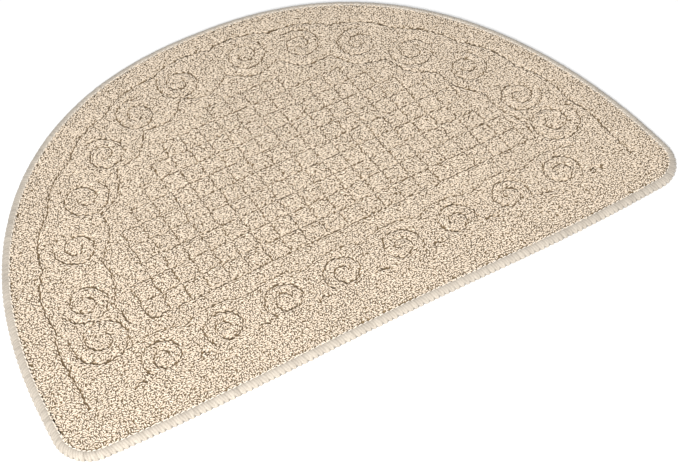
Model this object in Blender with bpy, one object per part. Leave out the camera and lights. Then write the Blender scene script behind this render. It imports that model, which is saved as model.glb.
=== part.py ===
"""Half-round doormat: a beige pile carpet with a tonal trellis and scroll relief, and an overlocked edge.

The mat lies flat on the XY plane, in metres, +Z up, with its origin under the middle of its outline.
X runs along the straight front edge, which faces -Y, and the arc is at +Y. The outline and the relief
are worked out from the front edge's chord first (y = 0 there) and moved to the origin at the end.
"""

import bmesh
import bpy
import numpy as np
from mathutils import Vector
from mathutils.geometry import delaunay_2d_cdt

# Outline of the whole mat: a straight front edge, two rounded corners and an arc that is a little
# squarer than an ellipse. Bow, wave and lean are how far the front edge strays from straight, and swell
# and ripple how far the arc does.
WIDTH = 0.760
DEPTH = 0.500
ARC_POWER = 2.25
CORNER_LEFT = 0.038
CORNER_RIGHT = 0.044
FRONT_BOW = 0.0065
FRONT_WAVE = 0.0022
FRONT_LEAN = 0.0008
FRONT_REACH = 0.10
ARC_SWELL = 0.0011
ARC_RIPPLE = 0.0018
ARC_REACH = 0.25
ARC_RADIUS = 0.40
ARC_STEPS = 58
CORNER_STEPS = 8
FRONT_STEPS = 16

# Heights of the pile and of the thin rim that the edge yarn grips, and how far in from the outline the
# rim ends and the flat of the pile begins
PILE_TOP = 0.0090
PILE_SHOULDER = 0.0085
SHOULDER_RUN = 0.0016
PILE_INSET = 0.0135
RIM_BOTTOM = 0.0019
RIM_TOP = 0.0049
RIM_INSET = 0.0033
GAP = 0.0003

# Section of the edge yarn's round face, from the underside to the top of its inner side. The columns
# are the inset from the outline and the height.
EDGE_WIDTH = 0.0096
EDGE_FACE = (
    (0.0032, 0.0000),
    (0.0010, 0.0010),
    (0.0000, 0.0032),
    (0.0001, 0.0052),
    (0.0011, 0.0071),
    (0.0034, 0.0082),
    (0.0066, 0.0082),
    (EDGE_WIDTH, 0.0072),
)

# Relief: V-shaped grooves in the pile. Corners nearer to each other than the last size are one.
GROOVE_WIDTH = 0.0044
GROOVE_DEPTH = 0.0024
NEAREST_CORNERS = 0.0004

# Trellis of cells, cut off by a half ellipse and turned a little against the front edge
CELL_ACROSS = 0.0241
CELL_UP = 0.0246
TRELLIS_MIDDLE = 0.0050
TRELLIS_FRONT = 0.1272
TRELLIS_HALF_WIDTH = 0.2420
TRELLIS_HEIGHT = 0.2500
TRELLIS_TURN = np.radians(0.9)
TRELLIS_ROWS = 10
ROW_MEASURED_AT = 0.9
LEAST_SHARE_OF_CELL = 0.7

# Scrolls along a half ellipse inside the arc, mirrored about x = 0. Place is the share of the way from
# the front corner to the top, radius is in metres, start is the angle in degrees at which the scroll's
# line begins, and hand is 1 for a line that winds in anticlockwise.
ARC_PATH_HALF_WIDTH = 0.2890
ARC_PATH_FRONT = 0.1270
ARC_PATH_HEIGHT = 0.3060
ARC_SCROLL_COLUMNS = ("place", "radius", "start", "turns", "hand")
ARC_SCROLLS = (
    (0.010, 0.031, 155, 1.35, 1),
    (0.132, 0.025, 195, 1.40, 1),
    (0.298, 0.024, 130, 1.30, 1),
    (0.450, 0.027, 30, 1.30, -1),
    (0.597, 0.025, 115, 1.30, -1),
    (0.752, 0.025, 70, 1.30, 1),
    (0.903, 0.025, 140, 1.35, 1),
)
SCROLL_EYE = 0.34
SCROLL_TIGHTENING = 1.2
SCROLL_STEPS_PER_TURN = 12

# Scalloped lines outside and inside these scrolls, one scallop to a scroll, counted from the top
SCALLOP_SHARE = 0.155
SCALLOP_STEPS = 6
OUTER_AT_SIDE = 0.0400
OUTER_AT_TOP = 0.0285
OUTER_RISE = 0.0060
INNER_AT_SIDE = 0.0270
INNER_AT_TOP = 0.0210
INNER_RISE_SIDE = 0.0060
INNER_RISE_TOP = 0.0190

# Scroll row behind the front edge, with a plain line in front of it and a scalloped one behind
FRONT_SCROLLS = 8
FRONT_MIDDLE = 0.0030
FRONT_SCROLL_PITCH = 0.0705
FRONT_SCROLL_Y = 0.0740
FRONT_SCROLL_RADIUS = 0.0225
FRONT_SCROLL_START = 215
FRONT_SCROLL_TURNS = 1.30
FRONT_LINE_Y = 0.0530
FRONT_LINE_HALF = 0.2950
FRONT_LINE_STEPS = 24
FRONT_SCALLOP_Y = 0.0985
FRONT_SCALLOP_RISE = 0.0070

# Linear colours of the two yarns
PILE_COLOUR = (0.64, 0.53, 0.40)
EDGE_COLOUR = (0.74, 0.67, 0.57)


def clear_scene():
    for item in list(bpy.data.objects):
        bpy.data.objects.remove(item, do_unlink=True)


def fibre(name, colour, roughness):
    """A matt yarn."""
    material = bpy.data.materials.new(name)
    material.use_nodes = True
    shader = material.node_tree.nodes["Principled BSDF"]
    shader.inputs["Base Color"].default_value = (*colour, 1.0)
    shader.inputs["Roughness"].default_value = roughness
    shader.inputs["Metallic"].default_value = 0.0
    return material


def half_round():
    """The outer edge, anticlockwise from the front of the right corner, with the real one's slight wander."""
    turn = np.linspace(-np.pi / 2, 0, CORNER_STEPS, endpoint=False)
    right = np.c_[
        WIDTH / 2 - CORNER_RIGHT + CORNER_RIGHT * np.cos(turn),
        CORNER_RIGHT + CORNER_RIGHT * np.sin(turn),
    ]
    sweep = np.linspace(0, np.pi, ARC_STEPS)
    foot = CORNER_RIGHT + (CORNER_LEFT - CORNER_RIGHT) * sweep / np.pi
    across, up = np.cos(sweep), np.sin(sweep)
    arc = np.c_[
        WIDTH / 2 * np.sign(across) * np.abs(across) ** (2 / ARC_POWER),
        foot + (DEPTH - foot) * up ** (2 / ARC_POWER),
    ]
    turn = np.linspace(np.pi, 1.5 * np.pi, CORNER_STEPS + 1)[1:]
    left = np.c_[
        CORNER_LEFT - WIDTH / 2 + CORNER_LEFT * np.cos(turn),
        CORNER_LEFT + CORNER_LEFT * np.sin(turn),
    ]
    along = np.linspace(CORNER_LEFT - WIDTH / 2, WIDTH / 2 - CORNER_RIGHT, FRONT_STEPS)[1:-1]
    front = np.c_[along, np.zeros(len(along))]
    edge = np.vstack([right, arc, left, front])

    share = edge[:, 0] / (WIDTH / 2)
    near_front = np.clip(1 - edge[:, 1] / FRONT_REACH, 0, 1)
    edge[:, 1] += near_front * (
        FRONT_WAVE * np.cos(1.5 * np.pi * share)
        - FRONT_BOW * (1 - share**2)
        - FRONT_LEAN * np.sin(np.pi * share)
    )
    angle = np.arctan2(edge[:, 1], edge[:, 0])
    near_arc = np.clip(edge[:, 1] / ARC_REACH, 0, 1)
    swell = ARC_SWELL * np.sin(2 * angle) + ARC_RIPPLE * np.sin(4 * angle)
    edge *= (1 - near_arc * swell / ARC_RADIUS)[:, None]
    return edge


def inset(edge, distance):
    """A closed outline moved inwards by distance, point by point."""
    along = np.roll(edge, -1, axis=0) - np.roll(edge, 1, axis=0)
    along /= np.linalg.norm(along, axis=1)[:, None]
    return edge + distance * np.c_[-along[:, 1], along[:, 0]]


def spiral(x, y, radius, start, turns, hand):
    """A scroll's line: it winds in from radius to the eye."""
    share = np.linspace(0, 1, round(turns * SCROLL_STEPS_PER_TURN) + 1)
    angle = np.radians(start) + hand * turns * 2 * np.pi * share
    reach = radius * (1 - (1 - SCROLL_EYE) * share**SCROLL_TIGHTENING)
    return np.c_[x + reach * np.cos(angle), y + reach * np.sin(angle)]


def arc_path(share, outwards=0.0):
    """Points at shares (0 left, 1 right) of the half ellipse that the scrolls lie on, moved outwards."""
    fine = np.linspace(np.pi, 0, 400)
    ellipse = np.c_[
        ARC_PATH_HALF_WIDTH * np.cos(fine), ARC_PATH_FRONT + ARC_PATH_HEIGHT * np.sin(fine)
    ]
    length = np.r_[0, np.cumsum(np.linalg.norm(np.diff(ellipse, axis=0), axis=1))]
    angle = np.interp(np.asarray(share) * length[-1], length, fine)
    normal = np.c_[
        ARC_PATH_HEIGHT * np.cos(angle), ARC_PATH_HALF_WIDTH * np.sin(angle)
    ]
    normal /= np.linalg.norm(normal, axis=1)[:, None]
    place = np.c_[
        ARC_PATH_HALF_WIDTH * np.cos(angle), ARC_PATH_FRONT + ARC_PATH_HEIGHT * np.sin(angle)
    ]
    return place + normal * np.reshape(outwards, (-1, 1))


def arc_scrolls():
    lines = []
    for row in ARC_SCROLLS:
        scroll = dict(zip(ARC_SCROLL_COLUMNS, row))
        x, y = arc_path([scroll["place"] / 2])[0]
        line = spiral(x, y, scroll["radius"], scroll["start"], scroll["turns"], scroll["hand"])
        lines.append(line)
        lines.append(line * (-1, 1))
    return lines


def front_scrolls():
    lines = []
    for number in range(FRONT_SCROLLS):
        x = FRONT_MIDDLE + (number - (FRONT_SCROLLS - 1) / 2) * FRONT_SCROLL_PITCH
        line = spiral(0, FRONT_SCROLL_Y, FRONT_SCROLL_RADIUS, FRONT_SCROLL_START, FRONT_SCROLL_TURNS, -1)
        side = 1 if x < 0 else -1
        lines.append(line * (side, 1) + (x, 0))
    return lines


def scalloped_lines():
    """The lines outside and inside the arc's scrolls, and the two lines of the front row."""
    to_side = np.arange(0, 1, SCALLOP_SHARE / SCALLOP_STEPS)
    from_top = np.r_[-to_side[::-1], to_side[1:]]
    share = (1 + from_top) / 2
    wave = np.abs(np.sin(np.pi * from_top / SCALLOP_SHARE))
    towards_top = 1 - np.abs(from_top)
    outer = arc_path(
        share, OUTER_AT_SIDE + (OUTER_AT_TOP - OUTER_AT_SIDE) * towards_top + OUTER_RISE * wave
    )
    rise = INNER_RISE_SIDE + (INNER_RISE_TOP - INNER_RISE_SIDE) * towards_top
    inner = arc_path(
        share, -INNER_AT_SIDE + (INNER_AT_SIDE - INNER_AT_TOP) * towards_top - rise * wave
    )
    foot = np.array([(outer[0, 0], FRONT_LINE_Y), (outer[-1, 0], FRONT_LINE_Y)])
    outer = np.vstack([foot[:1], outer, foot[1:]])

    half = FRONT_SCROLL_PITCH * FRONT_SCROLLS / 2
    along = np.linspace(-half, half, FRONT_SCROLLS * SCALLOP_STEPS + 1)
    wave = np.abs(np.sin(np.pi * along / FRONT_SCROLL_PITCH))
    behind = np.c_[along + FRONT_MIDDLE, FRONT_SCALLOP_Y + FRONT_SCALLOP_RISE * wave]
    along = np.linspace(-FRONT_LINE_HALF, FRONT_LINE_HALF, FRONT_LINE_STEPS + 1)
    ahead = np.c_[along, np.full(len(along), FRONT_LINE_Y)]
    return [outer, inner, behind, ahead]


def trellis():
    """Lines round every cell that lies inside the half ellipse, each as a chain of cell corners."""
    cosine, sine = np.cos(TRELLIS_TURN), np.sin(TRELLIS_TURN)

    def corner(column, row):
        x, y = column * CELL_ACROSS, row * CELL_UP
        return (TRELLIS_MIDDLE + cosine * x - sine * y, TRELLIS_FRONT + sine * x + cosine * y)

    half_cells = []
    for row in range(TRELLIS_ROWS):
        height = (row + ROW_MEASURED_AT) * CELL_UP / TRELLIS_HEIGHT
        room = TRELLIS_HALF_WIDTH * np.sqrt(1 - height**2) / CELL_ACROSS
        half_cells.append(int(room + 1 - LEAST_SHARE_OF_CELL))
    lines = []
    for row in range(TRELLIS_ROWS + 1):
        count = half_cells[max(row - 1, 0)]
        lines.append([corner(column, row) for column in range(-count, count + 1)])
    for column in range(-half_cells[0], half_cells[0] + 1):
        rows = sum(1 for count in half_cells if count >= abs(column))
        lines.append([corner(column, row) for row in range(rows + 1)])
    return [np.array(line) for line in lines]


def nearest(points, segments):
    """The distance of each point to the nearest segment."""
    start, way = segments[:, 0], segments[:, 1] - segments[:, 0]
    best = np.full(len(points), 1.0)
    for begin in range(0, len(points), 500):
        block = points[begin : begin + 500, None]
        share = np.clip(((block - start) * way).sum(-1) / (way**2).sum(-1), 0, 1)
        best[begin : begin + 500] = np.linalg.norm(block - start - share[..., None] * way, axis=-1).min(1)
    return best


def beside(line, distance):
    """An open line moved to its left."""
    along = np.gradient(line, axis=0)
    along /= np.linalg.norm(along, axis=1)[:, None]
    return line + distance * np.c_[-along[:, 1], along[:, 0]]


def pile_surface(edge, lines):
    """The pile's top as points and triangles: flat, with a V-shaped groove along each line."""
    points = [edge]
    chains = []
    for line in lines:
        for offset in (-GROOVE_WIDTH / 2, 0.0, GROOVE_WIDTH / 2):
            chains.append(beside(line, offset))
    edges = [(n, (n + 1) % len(edge)) for n in range(len(edge))]
    count = len(edge)
    for chain in chains:
        points.append(chain)
        edges += [(count + n, count + n + 1) for n in range(len(chain) - 1)]
        count += len(chain)
    flat = [Vector(point) for point in np.vstack(points)]
    found, _, faces, origins, _, _ = delaunay_2d_cdt(flat, edges, [], 1, NEAREST_CORNERS)
    plan = np.array([tuple(point) for point in found])
    segments = np.vstack([np.stack([line[:-1], line[1:]], axis=1) for line in lines])
    away = nearest(plan, segments)
    height = PILE_TOP - GROOVE_DEPTH * np.clip(1 - away / (GROOVE_WIDTH / 2), 0, 1)
    ring = [0] * len(edge)
    for index, sources in enumerate(origins):
        for source in sources:
            if source < len(edge):
                ring[source] = index
    height[ring] = PILE_TOP
    return np.c_[plan, height], faces, ring


def carpet_panel(edge, centre):
    """The pile, its backing and the thin rim that the edge yarn grips, as one closed mesh."""
    lines = arc_scrolls() + front_scrolls() + scalloped_lines() + trellis()
    top, faces, ring = pile_surface(inset(edge, PILE_INSET), lines)
    side = EDGE_WIDTH + GAP
    profile = (
        (side + SHOULDER_RUN, PILE_SHOULDER),
        (side, PILE_SHOULDER - SHOULDER_RUN),
        (side, RIM_TOP),
        (RIM_INSET, RIM_TOP),
        (RIM_INSET, RIM_BOTTOM),
        (side, RIM_BOTTOM),
        (side, 0.0),
    )
    mesh = bmesh.new()
    points = [mesh.verts.new((x - centre[0], y - centre[1], z)) for x, y, z in top]
    for face in faces:
        mesh.faces.new([points[index] for index in face])
    above = [points[index] for index in ring]
    for distance, height in profile:
        plan = inset(edge, distance) - centre
        below = [mesh.verts.new((x, y, height)) for x, y in plan]
        join_rings(mesh, above, below)
        above = below
    mesh.faces.new(above)
    return finished(mesh, "carpet_panel", fibre("beige_pile", PILE_COLOUR, 0.95))


def overlock_edge(edge, centre):
    """The yarn that wraps the rim all round: a C-shaped section, open towards the panel."""
    slot = (
        (EDGE_WIDTH, RIM_TOP + GAP),
        (RIM_INSET - GAP, RIM_TOP + GAP),
        (RIM_INSET - GAP, RIM_BOTTOM - GAP),
        (EDGE_WIDTH, RIM_BOTTOM - GAP),
        (EDGE_WIDTH, 0.0),
    )
    mesh = bmesh.new()
    rings = []
    for distance, height in EDGE_FACE + slot:
        plan = inset(edge, distance) - centre
        rings.append([mesh.verts.new((x, y, height)) for x, y in plan])
    for number, ring in enumerate(rings):
        join_rings(mesh, ring, rings[(number + 1) % len(rings)])
    return finished(mesh, "overlock_edge", fibre("edge_yarn", EDGE_COLOUR, 0.85))


def join_rings(mesh, first, second):
    for number in range(len(first)):
        after = (number + 1) % len(first)
        mesh.faces.new((first[number], first[after], second[after], second[number]))


def finished(mesh, name, material):
    bmesh.ops.recalc_face_normals(mesh, faces=mesh.faces)
    data = bpy.data.meshes.new(name)
    mesh.to_mesh(data)
    mesh.free()
    data.materials.append(material)
    data.shade_smooth()
    data.set_sharp_from_angle(angle=np.radians(35))
    item = bpy.data.objects.new(name, data)
    bpy.context.scene.collection.objects.link(item)
    return item


def main():
    clear_scene()
    edge = half_round()
    centre = (edge.min(axis=0) + edge.max(axis=0)) / 2
    carpet_panel(edge, centre)
    overlock_edge(edge, centre)


main()
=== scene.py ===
import math
import bpy
import numpy as np
from mathutils import Matrix, Vector


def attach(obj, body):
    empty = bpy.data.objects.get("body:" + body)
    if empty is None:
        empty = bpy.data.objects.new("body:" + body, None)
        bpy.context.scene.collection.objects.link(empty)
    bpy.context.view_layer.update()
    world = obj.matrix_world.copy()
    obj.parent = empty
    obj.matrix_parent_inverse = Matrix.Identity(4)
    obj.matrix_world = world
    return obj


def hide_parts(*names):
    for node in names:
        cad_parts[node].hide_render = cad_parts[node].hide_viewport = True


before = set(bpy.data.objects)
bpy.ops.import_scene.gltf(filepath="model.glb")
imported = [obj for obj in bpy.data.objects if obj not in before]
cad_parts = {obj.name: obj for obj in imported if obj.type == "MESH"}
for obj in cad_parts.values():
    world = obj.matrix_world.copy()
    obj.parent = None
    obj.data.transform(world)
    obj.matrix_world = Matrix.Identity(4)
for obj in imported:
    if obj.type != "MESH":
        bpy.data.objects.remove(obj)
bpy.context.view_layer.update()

dice = np.random.default_rng(41)
print("frame loaded", sorted(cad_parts))


# Outline, the same formula as the solids have: straight front, two round corners, an arc a little
# squarer than an ellipse, and a few millimetres of wander. y = 0 is the front edge's chord here.
mat = {
    "width": 0.760, "depth": 0.500, "arcPower": 2.25, "cornerLeft": 0.038, "cornerRight": 0.044,
    "frontBow": 0.0065, "frontWave": 0.0022, "frontWaves": 1.5, "frontLean": 0.0008, "frontReach": 0.10,
    "arcSwell": 0.0011, "arcRipple": 0.0018, "arcReach": 0.25, "arcRadius": 0.40, "pileTop": 0.0090,
    # steps along the arc, round a corner and along the front: the solids' own, and finer ones
    "solidSteps": (58, 8, 16), "fineSteps": (700, 120, 400), "finePoints": 2400,
    # the nearest of every third fine point is looked up, a batch at a time
    "lookUpStride": 3, "lookUpBatch": 4000, "nearEdge": 0.02,
}


def outlineOf(arcSteps, cornerSteps, frontSteps):
    # corner circle, then x = w/2 cos^(2/n), y = foot + rise sin^(2/n), corner circle, front line
    turn = np.linspace(-np.pi / 2, 0, cornerSteps, endpoint=False)
    r = mat["cornerRight"]
    right = np.c_[mat["width"] / 2 - r + r * np.cos(turn), r + r * np.sin(turn)]
    sweep = np.linspace(0, np.pi, arcSteps)
    foot = r + (mat["cornerLeft"] - r) * sweep / np.pi
    across, up, power = np.cos(sweep), np.sin(sweep), 2 / mat["arcPower"]
    arc = np.c_[
        mat["width"] / 2 * np.sign(across) * np.abs(across) ** power,
        foot + (mat["depth"] - foot) * np.abs(up) ** power,
    ]
    turn = np.linspace(np.pi, 1.5 * np.pi, cornerSteps + 1)[1:]
    s = mat["cornerLeft"]
    left = np.c_[s - mat["width"] / 2 + s * np.cos(turn), s + s * np.sin(turn)]
    along = np.linspace(s - mat["width"] / 2, mat["width"] / 2 - r, frontSteps)[1:-1]
    edge = np.vstack([right, arc, left, np.c_[along, 0 * along]])
    # the front's wander, which fades out behind it: a cosine wave less a bow (1 - share^2) and a lean
    share = edge[:, 0] / (mat["width"] / 2)
    edge[:, 1] += np.clip(1 - edge[:, 1] / mat["frontReach"], 0, 1) * (
        mat["frontWave"] * np.cos(mat["frontWaves"] * np.pi * share)
        - mat["frontBow"] * (1 - share**2)
        - mat["frontLean"] * np.sin(np.pi * share)
    )
    # the arc's wander, in and out along the radius: a sine of twice the angle and one of four times
    angle = np.arctan2(edge[:, 1], edge[:, 0])
    swell = mat["arcSwell"] * np.sin(2 * angle) + mat["arcRipple"] * np.sin(4 * angle)
    return edge * (1 - np.clip(edge[:, 1] / mat["arcReach"], 0, 1) * swell / mat["arcRadius"])[:, None]


coarse = outlineOf(*mat["solidSteps"])
centre = (coarse.min(0) + coarse.max(0)) / 2  # the origin, seen from the front chord's frame


def evenly(line, count):
    # count points at equal steps of length round a closed line
    line = np.vstack([line, line[:1]])
    length = np.r_[0, np.cumsum(np.linalg.norm(np.diff(line, axis=0), axis=1))]
    at = np.linspace(0, length[-1], count, endpoint=False)
    return np.c_[np.interp(at, length, line[:, 0]), np.interp(at, length, line[:, 1])]


def inwards(edge):
    # the unit vector into the mat at each point of its edge
    along = np.roll(edge, -1, 0) - np.roll(edge, 1, 0)
    along /= np.linalg.norm(along, axis=1)[:, None]
    return np.c_[-along[:, 1], along[:, 0]]


fineEdge = evenly(outlineOf(*mat["fineSteps"]), mat["finePoints"])
edgeIn = inwards(fineEdge)


def depthInside(points):
    # how far inside the outline each point lies, negative outside it: near the edge the part of the way
    # from the nearest point that runs straight inwards, further off the whole distance
    best, side = np.empty((2, len(points)), np.float32)
    stride, batch = mat["lookUpStride"], mat["lookUpBatch"]
    start, inward = fineEdge[::stride].astype(np.float32), edgeIn[::stride].astype(np.float32)
    for a in range(0, len(points), batch):
        gap = points[a:a + batch, None].astype(np.float32) - start
        far = (gap**2).sum(-1)
        k = far.argmin(1)
        best[a:a + batch] = np.sqrt(far.min(1))
        side[a:a + batch] = (gap[np.arange(len(k)), k] * inward[k]).sum(-1)
    return np.where(best < mat["nearEdge"], side, np.sign(side) * best)


# Relief lines: scrolls, scalloped lines, ticks and a trellis
relief = {
    "pathHalf": 0.2890, "pathFront": 0.1270, "pathHeight": 0.3060, "pathSteps": 400, "slip": 0.011,
    # place on the path, radius, start angle, turns, hand
    "arcScrolls": (
        (0.010, 0.031, 155, 1.35, 1),
        (0.132, 0.025, 195, 1.40, 1),
        (0.298, 0.024, 130, 1.30, 1),
        (0.450, 0.027, 30, 1.30, -1),
        (0.597, 0.025, 115, 1.30, -1),
        (0.752, 0.025, 70, 1.30, 1),
        (0.903, 0.025, 140, 1.35, 1),
    ),
    "grow": 1.10, "moreTurns": 0.30, "eye": 0.22, "tightening": 1.1, "stepsPerTurn": 34,
    "scallopShare": 0.155, "scallopSteps": 12, "outerSide": 0.0400, "outerTop": 0.0285, "outerRise": 0.0060,
    "innerSide": 0.0270, "innerTop": 0.0210, "innerRiseSide": 0.0060, "innerRiseTop": 0.0190,
    "frontScrolls": 8, "frontMiddle": 0.0030, "frontPitch": 0.0705, "frontY": 0.0740,
    "frontRadius": 0.0225, "frontStart": 215, "frontTurns": 1.30,
    "frontLineY": 0.0550, "tick": ((-0.007, -0.001), (0.0, 0.003), (0.005, 0.001)),
    "scallopY": 0.0985, "scallopRise": 0.0070,
    "cellAcross": 0.0241, "cellUp": 0.0246, "trellisMiddle": 0.0050, "trellisFront": 0.1272,
    "trellisHalf": 0.2420, "trellisHeight": 0.2500, "trellisTurn": math.radians(0.9), "rows": 10,
    "rowAt": 0.9, "leastCell": 0.7, "columnStray": 0.018, "columnSeed": 17,
    # firmness is 1 for a sharp crease and less for a soft dip
    "lineFirm": 0.92, "outerFirm": 1.30, "scallopFirm": 0.45, "trellisFirm": 0.64,
    "acrossTurn": -0.51, "acrossMore": 0.48, "firmest": 1.6,
    "wander": 0.0008, "wanderScale": 0.018, "wanderSeeds": (11, 12), "batch": 1500, "leastFar": 1e-6,
}


def scroll(x, y, radius, start, turns, hand):
    # a spiral, grown and wound on from the charted one: its reach falls from radius to the eye's share
    turns = turns + relief["moreTurns"]
    share = np.linspace(0, 1, round(turns * relief["stepsPerTurn"]) + 1)
    angle = math.radians(start) + hand * turns * 2 * np.pi * share
    reach = radius * relief["grow"] * (1 - (1 - relief["eye"]) * share ** relief["tightening"])
    return np.c_[x + reach * np.cos(angle), y + reach * np.sin(angle)]


def scrollPath(share, outwards=0.0):
    # points at equal lengths along a half ellipse, moved along its normal
    a, b, front = relief["pathHalf"], relief["pathHeight"], relief["pathFront"]
    fine = np.linspace(np.pi, 0, relief["pathSteps"])
    ellipse = np.c_[a * np.cos(fine), front + b * np.sin(fine)]
    length = np.r_[0, np.cumsum(np.linalg.norm(np.diff(ellipse, axis=0), axis=1))]
    angle = np.interp(np.asarray(share) * length[-1], length, fine)
    normal = np.c_[b * np.cos(angle), a * np.sin(angle)]
    normal /= np.linalg.norm(normal, axis=1)[:, None]
    return np.c_[a * np.cos(angle), front + b * np.sin(angle)] + normal * np.reshape(outwards, (-1, 1))


def arcScrolls():
    # each charted scroll stands on the left and mirrored on the right, both slipped towards the left
    lines = []
    for place, radius, start, turns, hand in relief["arcScrolls"]:
        for side, mirror in ((-1, (1, 1)), (1, (-1, 1))):
            x, y = scrollPath([place / 2 + side * relief["slip"]])[0]
            lines.append(scroll(x, y, radius, start, turns, hand) * mirror)
    return lines


def frontPlaces(count):
    # count places a pitch apart about the front row's middle, each with the mirror for its side
    for number in range(count):
        x = relief["frontMiddle"] + (number - (count - 1) / 2) * relief["frontPitch"]
        yield x, (1 if x < 0 else -1, 1)


def frontScrolls():
    line = scroll(0, relief["frontY"], relief["frontRadius"], relief["frontStart"], relief["frontTurns"], -1)
    return [line * mirror + (x, 0) for x, mirror in frontPlaces(relief["frontScrolls"])]


def ticks():
    # a short tick in front of each gap between the front scrolls
    tick, y = np.array(relief["tick"]), relief["frontLineY"]
    return [tick * mirror + (x, y) for x, mirror in frontPlaces(relief["frontScrolls"] + 1)]


def arcScallops():
    # the lines outside and inside the arc's scrolls: |sin| scallops, one to a scroll, from the top
    toSide = np.arange(0, 1, relief["scallopShare"] / relief["scallopSteps"])
    fromTop = np.r_[-toSide[::-1], toSide[1:]]
    wave = np.abs(np.sin(np.pi * fromTop / relief["scallopShare"]))
    top = 1 - np.abs(fromTop)
    outwards = relief["outerSide"] + (relief["outerTop"] - relief["outerSide"]) * top
    outer = scrollPath((1 + fromTop) / 2, outwards + relief["outerRise"] * wave)
    rise = relief["innerRiseSide"] + (relief["innerRiseTop"] - relief["innerRiseSide"]) * top
    outwards = -relief["innerSide"] + (relief["innerSide"] - relief["innerTop"]) * top
    inner = scrollPath((1 + fromTop) / 2, outwards - rise * wave)
    ends = [(outer[0, 0], relief["frontLineY"]), (outer[-1, 0], relief["frontLineY"])]
    return np.vstack([ends[:1], outer, ends[1:]]), inner


def frontScallop():
    half = relief["frontPitch"] * relief["frontScrolls"] / 2
    along = np.linspace(-half, half, relief["frontScrolls"] * relief["scallopSteps"] + 1)
    wave = np.abs(np.sin(np.pi * along / relief["frontPitch"]))
    return np.c_[along + relief["frontMiddle"], relief["scallopY"] + relief["scallopRise"] * wave]


def trellis():
    # its rows are whole lines, as wide as a half ellipse lets them be; its columns are short lines, one a
    # cell, each a little off its place and seldom quite straight
    cosine, sine = math.cos(relief["trellisTurn"]), math.sin(relief["trellisTurn"])

    def corner(column, row):
        x, y = column * relief["cellAcross"], row * relief["cellUp"]
        x, y = cosine * x - sine * y, sine * x + cosine * y
        return relief["trellisMiddle"] + x, relief["trellisFront"] + y

    cells = []
    for row in range(relief["rows"]):
        height = (row + relief["rowAt"]) * relief["cellUp"] / relief["trellisHeight"]
        room = relief["trellisHalf"] * math.sqrt(1 - height**2) / relief["cellAcross"]
        cells.append(int(room + 1 - relief["leastCell"]))
    lines = []
    for row in range(relief["rows"] + 1):
        count = cells[max(row - 1, 0)]
        lines.append(np.array([corner(-count, row), corner(count, row)]))
    luck = np.random.default_rng(relief["columnSeed"])
    for row, count in enumerate(cells):
        for column in range(-count, count + 1):
            foot, middle, head = luck.normal(column, relief["columnStray"], 3)
            lines.append(np.array([corner(foot, row), corner(middle, row + 0.5), corner(head, row + 1)]))
    return lines


outerScallop, innerScallop = arcScallops()
lineGroups = [
    (arcScrolls() + frontScrolls(), relief["lineFirm"]),
    ([outerScallop], relief["outerFirm"]),
    ([innerScallop], relief["lineFirm"]),
    ([frontScallop()], relief["scallopFirm"]),
    (ticks(), relief["lineFirm"]),
    (trellis(), relief["trellisFirm"]),
]
segments = np.vstack([np.stack([line[:-1], line[1:]], 1) for lines, _ in lineGroups for line in lines])
segments = segments.astype(np.float32)
segmentWay = segments[:, 1] - segments[:, 0]
segmentFirm = np.repeat([firm for _, firm in lineGroups],
                        [sum(len(line) - 1 for line in lines) for lines, _ in lineGroups])
# a line that runs side to side as the camera sees it is pressed deeper than one that runs away from it,
# firm * (1 + k cos(2 (angle - across))), because less of it would show
segmentTurn = np.arctan2(segmentWay[:, 1], segmentWay[:, 0]) - relief["acrossTurn"]
segmentFirm = segmentFirm * (1 + relief["acrossMore"] * np.cos(2 * segmentTurn))
segmentFirm = np.minimum(segmentFirm, relief["firmest"])
print("relief segments", len(segments))


# Drift: smooth wandering values about -1..1, a sum of a few slanting sine waves
waves = {"count": 7, "leastPace": 0.6, "mostPace": 1.7, "height": 3.2}


def drift(points, scale, seed):
    luck = np.random.default_rng(seed)
    total = np.zeros(len(points))
    for _ in range(waves["count"]):
        turn, phase = luck.uniform(0, 2 * np.pi), luck.uniform(0, 2 * np.pi)
        pace = luck.uniform(waves["leastPace"], waves["mostPace"])
        total += np.sin((points @ (math.cos(turn), math.sin(turn))) * pace * 2 * np.pi / scale + phase)
    return total / waves["height"]


def toLines(points):
    # distance to the nearest relief line, the unit vector away from it, and how firm the line is there;
    # the points are shifted a little first, so that the lines wander as hand-guided ones do
    shift = np.c_[tuple(drift(points, relief["wanderScale"], seed) for seed in relief["wanderSeeds"])]
    points = points + relief["wander"] * shift
    batch = relief["batch"]
    far, firm = np.empty((2, len(points)), np.float32)
    away = np.empty((len(points), 2), np.float32)
    for a in range(0, len(points), batch):
        gap = points[a:a + batch, None].astype(np.float32) - segments[:, 0]
        share = np.clip((gap * segmentWay).sum(-1) / (segmentWay**2).sum(-1), 0, 1)
        gap -= share[..., None] * segmentWay
        square = (gap**2).sum(-1)
        k = square.argmin(1)
        far[a:a + batch] = np.sqrt(square.min(1))
        away[a:a + batch] = gap[np.arange(len(k)), k]
        firm[a:a + batch] = segmentFirm[k]
    return far, away / np.maximum(far, relief["leastFar"])[:, None], firm


# Mesh helpers: whole arrays in, one object out
def meshOf(name, points, faces, material):
    mesh = bpy.data.meshes.new(name)
    mesh.vertices.add(len(points))
    mesh.vertices.foreach_set("co", np.ascontiguousarray(points, np.float32).ravel())
    mesh.loops.add(faces.size)
    mesh.loops.foreach_set("vertex_index", np.ascontiguousarray(faces, np.int32).ravel())
    mesh.polygons.add(len(faces))
    mesh.polygons.foreach_set("loop_start", np.arange(0, faces.size, faces.shape[1], dtype=np.int32))
    mesh.update(calc_edges=True)
    mesh.polygons.foreach_set("use_smooth", np.ones(len(faces), bool))
    mesh.materials.append(material)
    item = bpy.data.objects.new(name, mesh)
    bpy.context.scene.collection.objects.link(item)
    return item


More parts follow.
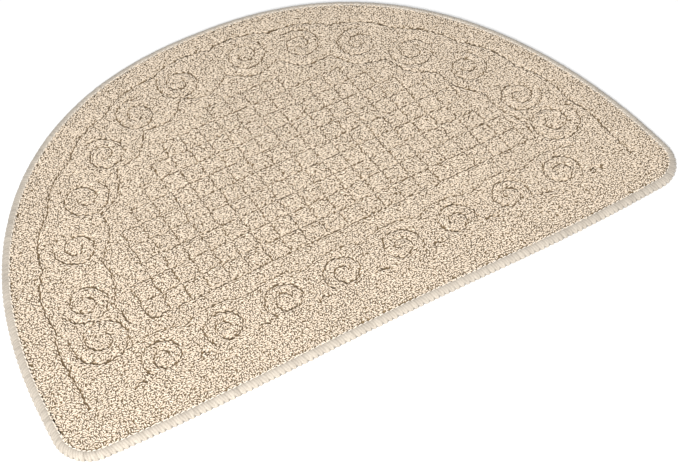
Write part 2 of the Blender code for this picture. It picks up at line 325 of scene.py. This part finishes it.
def setToneAndShade(item, values):
    # painted shade and tone for the colour: 0 takes the root's painted-shade colour and 1 the tip's lit
    # colour
    layer = item.data.attributes.new("lift", "FLOAT", "POINT")
    layer.data.foreach_set("value", np.asarray(values, np.float32).ravel())


def gridFaces(rows, columns, closed=False):
    # quads of a grid whose last row joins its first, and whose last column does so too where it is closed
    i = np.arange(rows)[:, None]
    j = np.arange(columns if closed else columns - 1)[None, :]
    nextRow, nextColumn = (i + 1) % rows, (j + 1) % columns
    here, there = i * columns, nextRow * columns
    return np.stack([here + j, here + nextColumn, there + nextColumn, there + j], -1).reshape(-1, 4)


def ringMesh(name, points, material):
    # a closed tube round the mat: each row of points runs along it, the rows go round its section
    faces = gridFaces(*points.shape[:2], closed=True)[:, ::-1]
    return meshOf(name, points.reshape(-1, 3) - (*centre, 0), faces, material)


# Materials
def nodeMaterial(name):
    material = bpy.data.materials.new(name)
    material.use_nodes = True
    return material, material.node_tree.nodes, material.node_tree.links


tint = {"fineScale": 900, "fineDetail": 2, "broadDetail": 3, "fineWeight": 3.5}


def yarnTintGroup():
    # colour group: from the root's painted-shade colour to the tip's lit colour by a 0..1 share, times 1 +
    # vary * (w fine noise + broad noise - their mean)
    group = bpy.data.node_groups.new("yarnTint", "ShaderNodeTree")
    face = group.interface
    entries = {"Height": "NodeSocketFloat", "Tip": "NodeSocketColor", "ShadeColour": "NodeSocketColor",
               "Vary": "NodeSocketFloat", "Patch Scale": "NodeSocketFloat"}
    for title, kind in entries.items():
        face.new_socket(title, in_out="INPUT", socket_type=kind)
    face.new_socket("Colour", in_out="OUTPUT", socket_type="NodeSocketColor")
    nodes, links = group.nodes, group.links
    entry, leave = nodes.new("NodeGroupInput"), nodes.new("NodeGroupOutput")
    place = nodes.new("ShaderNodeTexCoord")
    fine, broad = nodes.new("ShaderNodeTexNoise"), nodes.new("ShaderNodeTexNoise")
    fine.inputs["Scale"].default_value = tint["fineScale"]
    fine.inputs["Detail"].default_value = tint["fineDetail"]
    broad.inputs["Detail"].default_value = tint["broadDetail"]
    links.new(place.outputs["Object"], fine.inputs["Vector"])
    links.new(place.outputs["Object"], broad.inputs["Vector"])
    links.new(entry.outputs["Patch Scale"], broad.inputs["Scale"])
    blend = nodes.new("ShaderNodeMix")
    blend.data_type = "RGBA"
    links.new(entry.outputs["Height"], blend.inputs["Factor"])
    links.new(entry.outputs["ShadeColour"], blend.inputs[6])  # its colour sockets are 6, 7 and, on the way out, 2
    links.new(entry.outputs["Tip"], blend.inputs[7])
    both = nodes.new("ShaderNodeMath")
    both.operation = "MULTIPLY_ADD"
    both.inputs[1].default_value = tint["fineWeight"]
    links.new(fine.outputs["Fac"], both.inputs[0])
    links.new(broad.outputs["Fac"], both.inputs[2])
    centred = nodes.new("ShaderNodeMath")
    centred.operation = "SUBTRACT"
    centred.inputs[1].default_value = (tint["fineWeight"] + 1) / 2
    links.new(both.outputs[0], centred.inputs[0])
    scaled = nodes.new("ShaderNodeMath")
    scaled.operation = "MULTIPLY_ADD"
    scaled.inputs[2].default_value = 1.0
    links.new(centred.outputs[0], scaled.inputs[0])
    links.new(entry.outputs["Vary"], scaled.inputs[1])
    shade = nodes.new("ShaderNodeVectorMath")
    shade.operation = "SCALE"
    links.new(blend.outputs[2], shade.inputs[0])
    links.new(scaled.outputs[0], shade.inputs["Scale"])
    links.new(shade.outputs[0], leave.inputs["Colour"])
    return group


tintGroup = yarnTintGroup()
fibre = {"sheenRoughness": 0.6, "specular": 0.2, "fuzzScale": 2400, "fuzzDetail": 1, "fuzzHeight": 0.0004}


def yarnMaterial(name, tip, root, vary, patch, roughness, sheen, bump):
    material, nodes, links = nodeMaterial(name)
    shader = nodes["Principled BSDF"]
    shader.inputs["Roughness"].default_value = roughness
    shader.inputs["Sheen Weight"].default_value = sheen
    shader.inputs["Sheen Roughness"].default_value = fibre["sheenRoughness"]
    shader.inputs["Specular IOR Level"].default_value = fibre["specular"]
    # the painted shade and tone each point carries, read from its attribute
    height = nodes.new("ShaderNodeAttribute")
    height.attribute_name = "lift"
    colour = nodes.new("ShaderNodeGroup")
    colour.node_tree = tintGroup
    colour.inputs["Tip"].default_value = (*tip, 1)
    colour.inputs["ShadeColour"].default_value = (*root, 1)
    colour.inputs["Vary"].default_value = vary
    colour.inputs["Patch Scale"].default_value = patch
    links.new(height.outputs["Fac"], colour.inputs["Height"])
    links.new(colour.outputs["Colour"], shader.inputs["Base Color"])
    place = nodes.new("ShaderNodeTexCoord")
    fuzz = nodes.new("ShaderNodeTexNoise")
    fuzz.inputs["Scale"].default_value = fibre["fuzzScale"]
    fuzz.inputs["Detail"].default_value = fibre["fuzzDetail"]
    links.new(place.outputs["Object"], fuzz.inputs["Vector"])
    rough = nodes.new("ShaderNodeBump")
    rough.inputs["Strength"].default_value = bump
    rough.inputs["Distance"].default_value = fibre["fuzzHeight"]
    links.new(fuzz.outputs["Fac"], rough.inputs["Height"])
    links.new(rough.outputs["Normal"], shader.inputs["Normal"])
    return material


# each yarn's lit colour at the tip and its painted-shade colour at the root, how much noise varies them, and
# that noise's broad scale
yarns = {
    "pileYarn": {"tip": (0.88, 0.755, 0.612), "root": (0.26, 0.18, 0.09), "vary": 0.14, "patch": 9.0,
                 "roughness": 0.95, "sheen": 0.15, "bump": 0.5},
    # the backing is as dark as the shade in the gaps between tufts: painted shade
    "backingAndGapShade": {"tip": (0.20, 0.14, 0.075), "root": (0.14, 0.095, 0.05), "vary": 0.3, "patch": 40.0,
                    "roughness": 1.0, "sheen": 0.0, "bump": 0.6},
    "edgeYarn": {"tip": (0.495, 0.44, 0.369), "root": (0.21, 0.18, 0.145), "vary": 0.12, "patch": 25.0,
                 "roughness": 0.85, "sheen": 0.15, "bump": 0.4},
    "chainThread": {"tip": (0.76, 0.69, 0.60), "root": (0.50, 0.43, 0.34), "vary": 0.08, "patch": 25.0,
                    "roughness": 0.8, "sheen": 0.1, "bump": 0.2},
}
materials = {name: yarnMaterial(name, **yarn) for name, yarn in yarns.items()}


# Pressed relief: a narrow groove in a wide shallow dish beside each line
press = {
    "grooveDepth": 0.0006, "grooveReach": 0.0013, "dishDepth": 0.0015, "dishReach": 0.0036,
    "softShare": 0.1, "depthDrift": 0.12, "depthScale": 0.021, "depthSeed": 6,
    "tipDrop": 0.0002, "swell": 0.00025, "swellScale": 0.09, "swellSeed": 5,
}


def grooveDip(points, far, firm):
    # how much lower the pile is, the sum of depth * exp(-(far / reach)^2), and how steeply that shrinks
    # with distance
    share = press["softShare"] + (1 - press["softShare"]) * firm
    share = share * (1 + press["depthDrift"] * drift(points, press["depthScale"], press["depthSeed"]))
    dip, steep = 0.0, 0.0
    for depth, reach in (("grooveDepth", "grooveReach"), ("dishDepth", "dishReach")):
        part = share * press[depth] * np.exp(-((far / press[reach]) ** 2))
        dip, steep = dip + part, steep + part * 2 * far / press[reach] ** 2
    return dip, steep


def pileHeight(points, far, firm):
    swell = press["swell"] * drift(points, press["swellScale"], press["swellSeed"])
    return mat["pileTop"] - press["tipDrop"] - grooveDip(points, far, firm)[0] + swell


# Ground: the backing that the tufts stand in, coloured dark as painted shade for the gaps between tufts, and
# darker still lower down
ground = {
    "columns": 260, "rows": 130, "underRows": 6, "crowding": 0.25, "inset": 0.0098, "sheetInset": 0.0099,
    "sideSteps": (0.0, 0.0018, 0.0042), "below": 0.0021, "rimDrop": 0.0006, "rimReach": 0.0015,
    "lumps": 0.0003, "lumpScale": 0.006, "lumpSeed": 8, "groundShadeFrom": 0.004, "groundShadeOver": 0.003,
}


def makeGround():
    # a flattened tube from the left end to the right: each column is a loop that climbs the front side,
    # crosses the top by equal steps, goes down the back side and returns underneath
    rim = fineEdge + ground["inset"] * edgeIn
    west, east = rim[:, 0].argmin(), rim[:, 0].argmax()
    rim = np.roll(rim, -east, 0)
    west = (west - east) % len(rim)
    back, front = rim[west::-1], np.vstack([rim[west:], rim[:1]])
    # columns at even steps, crowded a little towards both ends
    eased = (1 - np.cos(np.linspace(0, np.pi, ground["columns"]))) / 2
    even = np.linspace(0, 1, ground["columns"])
    x = (1 - ground["crowding"]) * even + ground["crowding"] * eased
    x = back[0, 0] + (back[-1, 0] - back[0, 0]) * x
    near = np.interp(x, front[:, 0], front[:, 1])
    behind = np.interp(x, back[:, 0], back[:, 1])
    across = np.linspace(0, 1, ground["rows"])[:, None]
    top = np.stack([x + 0 * across, near + (behind - near) * across], -1)
    flat = top.reshape(-1, 2)
    far, _, firm = toLines(flat)
    z = pileHeight(flat, far, firm) - ground["below"]
    z += ground["lumps"] * drift(flat, ground["lumpScale"], ground["lumpSeed"])
    z -= ground["rimDrop"] * np.exp(-((depthInside(flat) - ground["inset"]) / ground["rimReach"]) ** 2)
    topRows = np.concatenate([top, z.reshape(len(top), -1, 1)], -1)
    frontRows = [np.c_[top[0], np.full(len(x), height)] for height in ground["sideSteps"]]
    backRows = [np.c_[top[-1], np.full(len(x), height)] for height in ground["sideSteps"][::-1]]
    homeward = np.linspace(1, 0, ground["underRows"])[1:-1]
    underRows = [np.c_[x, near + (behind - near) * share, 0 * x] for share in homeward]
    loops = np.concatenate([np.stack(frontRows), topRows, np.stack(backRows), np.stack(underRows)])
    # each end column is a single point, so the triangles that shrink to a line there are left out
    index = np.arange(loops.shape[0] * loops.shape[1]).reshape(loops.shape[:2])
    index[:, 0], index[:, -1] = index[0, 0], index[0, -1]
    faces = index.ravel()[gridFaces(*loops.shape[:2])]
    triangles = np.vstack([faces[:, [0, 1, 2]], faces[:, [0, 2, 3]]])
    full = (triangles[:, 0] != triangles[:, 1]) & (triangles[:, 1] != triangles[:, 2])
    full &= triangles[:, 0] != triangles[:, 2]
    used, triangles = np.unique(triangles[full], return_inverse=True)
    points = loops.reshape(-1, 3)[used]
    item = meshOf("carpetGround", points - (*centre, 0), triangles.reshape(-1, 3), materials["backingAndGapShade"])
    # painted shade: the ground turns to its darker colour lower down
    setToneAndShade(item, np.clip((points[:, 2] - ground["groundShadeFrom"]) / ground["groundShadeOver"], 0, 1))
    return item


# Pile: short curly tufts, each a small worm bent into an arch with both ends dipping into the ground
pile = {
    # the lattice and its chance moves
    "pitch": 0.0029, "rowShare": 0.92, "fieldX": (-0.39, 0.39), "fieldY": (-0.01, 0.52), "jitter": 0.15,
    "inset": 0.0104, "flow": 5.0, "flowScale": 0.030, "flowSeed": 13, "flowLoose": 0.9,
    # beside a relief line
    "keepOff": 0.0012, "pushReach": 0.0032, "pushFrom": 0.4, "alongLine": 0.0030, "alongLoose": 0.2,
    # the push between neighbours
    "steps": 11, "apart": 0.0021, "disc": 0.0013, "push": 0.25, "turnPush": 0.5, "mostTurn": 0.3,
    "nearFree": 0.2, "alignedFree": 0.15, "leastGap": 1e-5,
    # one tuft, and how much each may differ
    "length": 0.0057, "halfWide": 0.00104, "halfTall": 0.00120, "arch": 0.0008, "bend": 0.30, "lean": 0.12,
    "lengthSpread": (0.8, 1.15), "fatSpread": (0.9, 1.1), "archSpread": (0.7, 1.3), "uneven": 0.00020,
    "ringAt": 0.62, "ringFat": 0.88, "corners": (-15, 90, 195), "bendBack": 0.2,
    "steepness": 2.4, "nap": 0.25, "lowest": 0.0004, "overTop": 0.0009,
    # painted shade: how far below its crest a tuft turns to its shade colour, random tone, and how much
    # painted shade a groove's dip adds
    "shadeReach": 0.0022, "toneLuck": 0.055, "grooveShade": 0.08,
    "strips": 6,
}


def packTufts():
    # a lattice of tufts, every other row half a pitch along, each moved and turned by chance
    step = pile["pitch"]
    x, y = np.meshgrid(np.arange(*pile["fieldX"], step), np.arange(*pile["fieldY"], step * pile["rowShare"]))
    x[1::2] += step / 2
    shape = x.shape
    spots = np.c_[x.ravel(), y.ravel()]
    spots += dice.normal(0, step * pile["jitter"], spots.shape)
    heading = pile["flow"] * drift(spots, pile["flowScale"], pile["flowSeed"])
    heading = heading + dice.normal(0, pile["flowLoose"], len(spots))
    inside = depthInside(spots)
    far, away, firm = toLines(spots)
    # those close to a relief line are moved off it and mostly lie along it
    near = (far < pile["pushReach"]) & (firm > pile["pushFrom"])
    keepOff = pile["keepOff"] * firm
    wanted = keepOff + far * (pile["pushReach"] - keepOff) / pile["pushReach"]
    spots[near] += (away * (wanted - far)[:, None])[near]
    aligned = (far < pile["alongLine"]) & (dice.uniform(0, 1, len(spots)) < firm)
    along = np.arctan2(away[:, 0], -away[:, 1]) + dice.normal(0, pile["alongLoose"], len(spots))
    heading = np.where(aligned, along, heading)
    live = inside > pile["inset"]
    free = np.where(near, pile["nearFree"], 1.0) * live
    loose = np.where(aligned, pile["alignedFree"], 1.0) * live
    # neighbours push one another apart, each tuft felt as two discs, which also turns them; half of the
    # neighbours are listed, because each push has its opposite
    spots, heading = spots.reshape(*shape, 2), heading.reshape(shape)
    live, free, loose = live.reshape(shape), free.reshape(shape), loose.reshape(shape)
    sides = [(0, 1), (0, 2), (1, -2), (1, -1), (1, 0), (1, 1), (1, 2), (2, -1), (2, 0), (2, 1)]
    for _ in range(pile["steps"]):
        arm = pile["disc"] * np.stack([np.cos(heading), np.sin(heading)], -1)
        move, spin = np.zeros_like(spots), np.zeros_like(heading)
        for side in sides:
            backwards = tuple(-k for k in side)
            other, otherArm, otherLive = (np.roll(value, backwards, (0, 1)) for value in (spots, arm, live))
            for mine in (-1, 1):
                for theirs in (-1, 1):
                    gap = spots + mine * arm - other - theirs * otherArm
                    distance = np.maximum(np.hypot(gap[..., 0], gap[..., 1]), pile["leastGap"])
                    push = np.clip(pile["apart"] / distance - 1, 0, 1) * pile["push"] * live * otherLive
                    shove = gap * push[..., None]
                    move += shove - np.roll(shove, side, (0, 1))
                    spin += mine * (arm[..., 0] * shove[..., 1] - arm[..., 1] * shove[..., 0])
                    twist = theirs * (otherArm[..., 0] * shove[..., 1] - otherArm[..., 1] * shove[..., 0])
                    spin -= np.roll(twist, side, (0, 1))
        spots = spots + move * free[..., None]
        turn = pile["turnPush"] * spin / pile["disc"]**2
        heading = heading + np.clip(turn, -pile["mostTurn"], pile["mostTurn"]) * loose
    live = live.ravel()
    return spots.reshape(-1, 2)[live], heading.ravel()[live]


def tuftFaces():
    # point 0 is one end, 1 to 9 are three rings of three, and 10 is the other end
    faces = []
    for k in range(3):
        n = (k + 1) % 3
        faces += [(0, 1 + n, 1 + k), (10, 7 + k, 7 + n)]
        for ring in (1, 4):
            faces += [(ring + k, ring + n, ring + 3 + n), (ring + k, ring + 3 + n, ring + 3 + k)]
    return np.array(faces)


def makePile():
    spots, heading = packTufts()
    far, away, firm = toLines(spots)
    count = len(spots)
    top = pileHeight(spots, far, firm)
    dip, steep = grooveDip(spots, far, firm)
    slope = pile["steepness"] * away * steep[:, None]
    slope[:, 1] -= pile["nap"]
    lengths = pile["length"] * dice.uniform(*pile["lengthSpread"], count)
    wide = pile["halfWide"] * dice.uniform(*pile["fatSpread"], count)
    tall = pile["halfTall"] * dice.uniform(*pile["fatSpread"], count)
    bend = dice.normal(0, pile["bend"], count)
    lean = dice.normal(0, pile["lean"], count)
    lift = dice.normal(0, pile["uneven"], count)
    arch = pile["arch"] * dice.uniform(*pile["archSpread"], count)
    # one tuft: share runs from end to end, angle goes round it
    share = np.r_[-1.0, np.repeat([-pile["ringAt"], 0.0, pile["ringAt"]], 3), 1.0]
    fat = np.r_[0.0, np.repeat([pile["ringFat"], 1.0, pile["ringFat"]], 3), 0.0]
    angle = np.r_[0.0, np.tile(np.radians(pile["corners"]), 3), 0.0]
    along = lengths[:, None] / 2 * share
    sideways = wide[:, None] * fat * np.cos(angle)
    sideways = sideways + (lengths * bend)[:, None] * (share**2 / 2 - pile["bendBack"])
    height = tall[:, None] * fat * np.sin(angle) - arch[:, None] * share**2
    height += along * lean[:, None]
    c, s = np.cos(heading)[:, None], np.sin(heading)[:, None]
    dx, dy = c * along - s * sideways, s * along + c * sideways
    x, y = spots[:, :1] + dx, spots[:, 1:] + dy
    height += slope[:, :1] * dx + slope[:, 1:] * dy  # the tuft follows the relief and leans with the nap
    z = np.clip((top + lift - tall)[:, None] + height, pile["lowest"], mat["pileTop"] + pile["overTop"])
    # painted shade: each tuft darkens towards its root low in the pile, and more where a groove dips;
    # toneLuck is random tone
    toneAndShade = np.clip(1.0 + (height - tall[:, None]) / pile["shadeReach"], 0, 1)
    toneAndShade = toneAndShade + dice.normal(0, pile["toneLuck"], (count, 1))
    toneAndShade -= pile["grooveShade"] * (dip / press["dishDepth"])[:, None]
    faces = tuftFaces()
    pieces = []
    # strips from left to right
    order = np.argsort(spots[:, 0], kind="stable")
    for number, chosen in enumerate(np.array_split(order, pile["strips"])):
        points = np.stack([x[chosen], y[chosen], z[chosen]], -1).reshape(-1, 3) - (*centre, 0)
        first = np.arange(len(chosen)) * len(share)
        allFaces = (faces[None] + first[:, None, None]).reshape(-1, 3)
        item = meshOf(f"pile_{number + 1}", points, allFaces, materials["pileYarn"])
        setToneAndShade(item, toneAndShade[chosen])
        pieces.append(item)
    print("tufts", count, "triangles", count * len(faces))
    return pieces


# Overlocked edge: strands side by side wrap the rim, two to a stitch, and end in a small tooth below
edging = {
    "stitches": 340, "strandSteps": 6, "around": 14, "slant": -2.4, "unevenness": 0.12, "highest": 0.0088,
    # the section, from its inner top edge over the bevelled outside to its inner foot
    "insets": (0.0096, 0.0085, 0.0068, 0.0046, 0.0026, 0.0012, 0.0003, 0.0000, 0.0016, 0.0060, 0.0094),
    "heights": (0.0066, 0.0077, 0.0081, 0.0077, 0.0067, 0.0053, 0.0037, 0.0019, 0.0004, 0.0003, 0.0003),
    "ridge": 0.00028, "ridgeShape": 0.6, "ridgeSpread": 0.25, "swell": 0.00010, "seam": 0.05,
    "tooth": 0.0026, "toothShape": 0.8, "toothAt": 0.56, "toothReach": 0.09, "middle": 0.75,
    # tone and painted shade: base tone, painted shade between strands and between stitches, random tone a
    # strand, painted shade in the notches between teeth, and painted shade low on the band
    "toneAndShade": 0.80, "ridgeShade": 0.55, "stitchShade": 0.12, "stitchShape": 0.4, "stitchMiddle": 0.8,
    "toneSpread": 0.09, "notchShade": 1.8, "lowShade": 0.45, "shadeFrom": 0.45, "shadeOver": 0.25,
}


def sectionOf(share):
    # the band's section at equal shares of its length
    inset, height = np.array(edging["insets"]), np.array(edging["heights"])
    length = np.r_[0, np.cumsum(np.hypot(np.diff(inset), np.diff(height)))]
    return np.interp(share, length / length[-1], inset), np.interp(share, length / length[-1], height)


def makeBand():
    strands = edging["stitches"] * 2
    count = strands * edging["strandSteps"]
    path = evenly(fineEdge, count)
    inward = inwards(path)
    turn = np.linspace(0, 1, edging["around"])[:, None]
    inset, height = sectionOf(turn)
    dInset, dHeight = np.gradient(inset, axis=0), np.gradient(height, axis=0)
    size = np.hypot(dInset, dHeight)
    outwards, upwards = -dHeight / size, -dInset / size
    # place counts strands along the edge, slanting round the section and a little uneven
    place = np.arange(count)[None] / edging["strandSteps"] + edging["slant"] * (turn - 0.5)
    each = np.repeat(dice.normal(0, 1, (2, strands)), edging["strandSteps"], axis=1)
    knots = np.arange(strands + 1) * edging["strandSteps"]
    uneven = np.interp(np.arange(count), knots, np.r_[dice.normal(0, 1, strands), 0])
    place = place + edging["unevenness"] * uneven
    # a ridge a strand is |sin(pi place)|^0.6, and a tooth a stitch is |sin(pi place / 2)|^0.8, low down
    ridge = np.abs(np.sin(np.pi * place)) ** edging["ridgeShape"] - edging["middle"]
    stitch = np.abs(np.sin(np.pi * place / 2))
    tooth = stitch ** edging["toothShape"] - edging["middle"]
    low = np.exp(-(((turn - edging["toothAt"]) / edging["toothReach"]) ** 2))
    out = edging["ridge"] * ridge * (1 + edging["ridgeSpread"] * each[0])
    out = out + edging["swell"] * each[1] + edging["tooth"] * tooth * low
    out *= np.clip(np.minimum(turn, 1 - turn) / edging["seam"], 0, 1)
    plan = path + inward * (inset - out * outwards)[..., None]
    z = np.clip(height + out * upwards, 0.0, edging["highest"])
    item = ringMesh("overlockBand", np.concatenate([plan, z[..., None]], -1), materials["edgeYarn"])
    # painted shade: darker between strands, between stitches and in the notches between teeth, with painted
    # highlight on strand tops and tooth tips, and darker towards the band's lower side; each[1] is random
    # tone
    toneAndShade = edging["toneAndShade"] + edging["ridgeShade"] * ridge + edging["toneSpread"] * each[1]
    toneAndShade = toneAndShade + edging["stitchShade"] * (stitch ** edging["stitchShape"] - edging["stitchMiddle"])
    shade = edging["lowShade"] * np.clip((turn - edging["shadeFrom"]) / edging["shadeOver"], 0, 1)
    setToneAndShade(item, np.clip(toneAndShade + edging["notchShade"] * tooth * low - shade, 0, 1))
    return item


# Chain line: one thread along the band's inner edge, a long bead a stitch, dipping between them
chain = {
    "steps": 10, "sides": 6, "radius": 0.00062, "slim": 0.55, "full": 0.45, "beadShape": 0.5,
    "inset": 0.0089, "sway": 0.0005, "swayShape": 0.3, "height": 0.0077, "dip": 0.0010,
}


def makeChain():
    count = edging["stitches"] * chain["steps"]
    path = evenly(fineEdge, count)
    inward = inwards(path)
    share = (np.arange(count) / chain["steps"]) % 1
    angle = np.arange(chain["sides"])[:, None] * 2 * np.pi / chain["sides"]
    # each bead runs slantwise, from the band's side to the pile's side
    slant = chain["sway"] * (np.sin(np.pi * (share - 0.5)) * np.abs(2 * share - 1) ** chain["swayShape"])
    bead = np.sin(np.pi * share) ** chain["beadShape"]
    radius = chain["radius"] * (chain["slim"] + chain["full"] * bead)
    inset = chain["inset"] + slant + radius * np.cos(angle)
    z = chain["height"] - chain["dip"] * (1 - bead) + radius * np.sin(angle)
    points = np.concatenate([path + inward * inset[..., None], z[..., None]], -1)
    item = ringMesh("chainLine", points, materials["chainThread"])
    # painted shade: the thread darkens where it dips between beads
    setToneAndShade(item, np.broadcast_to(bead, z.shape))
    return item


carpetGround = makeGround()
print("ground done")
tufts = makePile()
overlockBand = makeBand()
chainLine = makeChain()
print("edge done")

pieces = [carpetGround, overlockBand, chainLine, *tufts]
for piece in pieces:
    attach(piece, "root")
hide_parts("carpet_panel")
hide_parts("overlock_edge")


# Floor and light
stage = {"floorSize": 8.0, "floorDrop": 0.0006, "floorTint": (0.93, 0.93, 0.93, 1), "floorRoughness": 0.9,
         "sky": 0.52, "lampPlace": (-1.05, -1.55, 1.50), "lampSize": 0.8, "lampPower": 75.0}
floorMaterial, floorNodes, _ = nodeMaterial("paleFloor")
floorNodes["Principled BSDF"].inputs["Base Color"].default_value = stage["floorTint"]
floorNodes["Principled BSDF"].inputs["Roughness"].default_value = stage["floorRoughness"]
half = stage["floorSize"] / 2
corners = np.array([(-half, -half), (half, -half), (half, half), (-half, half)])
corners = np.c_[corners, np.full(len(corners), -stage["floorDrop"])]
floor = meshOf("floor", corners, np.array([[0, 1, 2, 3]]), floorMaterial)

world = bpy.data.worlds.new("studio")
bpy.context.scene.world = world
world.use_nodes = True
world.node_tree.nodes["Background"].inputs["Color"].default_value = (1.0, 1.0, 1.0, 1)
world.node_tree.nodes["Background"].inputs["Strength"].default_value = stage["sky"]

lamp = bpy.data.objects.new("key", bpy.data.lights.new("key", "AREA"))
lamp.data.energy = stage["lampPower"]
lamp.data.shape = "DISK"
lamp.data.size = stage["lampSize"]
lamp.location = stage["lampPlace"]
lamp.rotation_euler = (-Vector(stage["lampPlace"])).to_track_quat("-Z", "Y").to_euler()
bpy.context.scene.collection.objects.link(lamp)
bpy.context.scene.view_settings.view_transform = "Standard"
print("stage done")

# Camera at the photo's angle, found from the mat's outline and the square trellis
view = {"azimuth": -0.51023, "elevation": 0.866636, "roll": -0.02618, "distance": 1.47589,
        "focal": 1348.06, "imageWidth": 679, "sensor": 36.0, "target": (-0.00626, 0.12935)}
azimuth, elevation, roll = view["azimuth"], view["elevation"], view["roll"]
level = math.cos(elevation)
forward = np.array([-math.sin(azimuth) * level, math.cos(azimuth) * level, -math.sin(elevation)])
right = np.cross(forward, (0, 0, 1))
right /= np.linalg.norm(right)
above = np.cross(right, forward)
c, s = math.cos(roll), math.sin(roll)
right, above = c * right + s * above, c * above - s * right
target = np.array([*(view["target"] - centre), 0.0])
camera = bpy.data.objects.new("camera", bpy.data.cameras.new("camera"))
camera.data.sensor_width = view["sensor"]
camera.data.lens = view["focal"] / view["imageWidth"] * view["sensor"]
turned = Matrix([[right[k], above[k], -forward[k]] for k in range(3)]).to_4x4()
turned.translation = (target - forward * view["distance"]).tolist()
camera.matrix_world = turned
bpy.context.scene.collection.objects.link(camera)
bpy.context.scene.camera = camera

print("triangles in all", sum(len(piece.data.loops) - 2 * len(piece.data.polygons) for piece in pieces))
